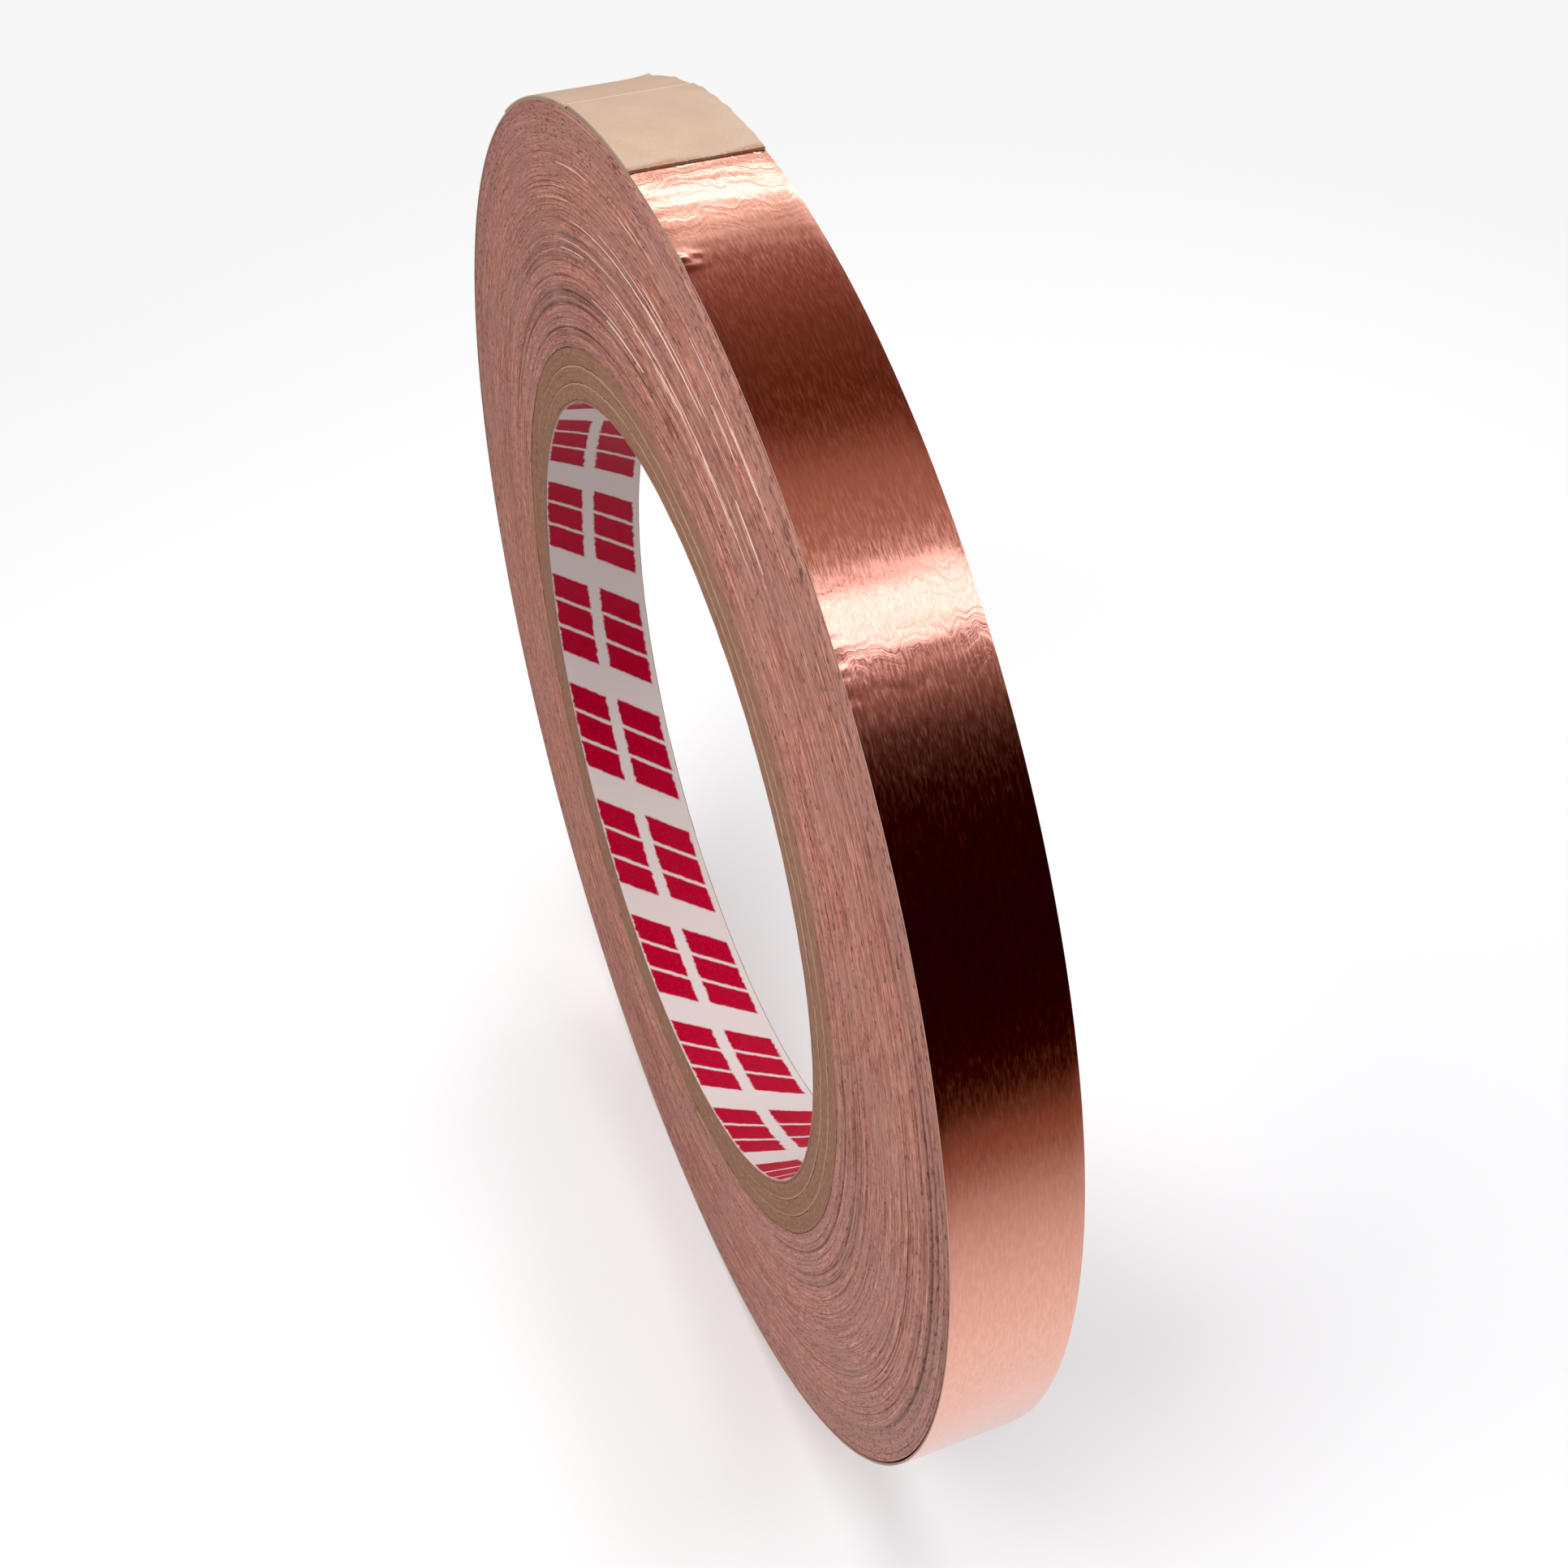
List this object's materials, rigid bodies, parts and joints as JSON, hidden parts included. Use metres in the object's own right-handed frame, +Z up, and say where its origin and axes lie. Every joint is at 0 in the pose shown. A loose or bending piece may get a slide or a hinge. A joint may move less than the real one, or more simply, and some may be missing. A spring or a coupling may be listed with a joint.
{
  "type": "copper foil tape roll",
  "caption": "Narrow roll of adhesive copper foil tape wound on a card core with a printed paper liner; the free end is held down by a paper tab.",
  "frame": {"origin": "on the surface that the roll stands on, under the middle of its width", "axes": "+Z up, +Y along the roll's axis, +X towards the side that the last turn runs down from the free end"},
  "size_m": [0.1287, 0.0106, 0.1289],
  "materials": {
    "printed_paper": null,
    "kraft_card": "brown kraft card, cut edge, matt",
    "wound_tape": "slit edges of many turns of copper foil and release paper, fibrous",
    "release_paper": "coated release paper, cut edge",
    "acrylic_adhesive": "thin acrylic adhesive film",
    "copper_foil": "bright rolled copper foil with fine lengthwise rolling grain and small wrinkles",
    "tab_adhesive": "thin adhesive film under the tab",
    "tab_paper": "tan smooth tab paper, semi-gloss"
  },
  "bodies": {
    "roll": {"core_liner": "printed_paper", "core_ply_inner": "kraft_card", "core_ply_middle": "kraft_card", "core_ply_outer": "kraft_card", "wound_turns": "wound_tape", "last_turn_release_paper": "release_paper", "last_turn_adhesive": "acrylic_adhesive", "last_turn_foil": "copper_foil"},
    "tape_end": {"tape_end_release_paper": "release_paper", "tape_end_adhesive": "acrylic_adhesive", "tape_end_foil": "copper_foil"},
    "end_tab": {"tab_adhesive": "tab_adhesive", "tab_paper": "tab_paper"}
  },
  "joints": [
    {"name": "tape_end_lift", "type": "hinge", "parent": "roll", "child": "tape_end", "pos_m": [0.01483, 0, 0.12699], "axis": [0, 1, 0], "range_deg": [0, 75]},
    {"name": "tab_peel", "type": "hinge", "parent": "tape_end", "child": "end_tab", "pos_m": [0.00136, 0, 0.12884], "axis": [0, 1, 0], "range_deg": [0, 110]}
  ]
}
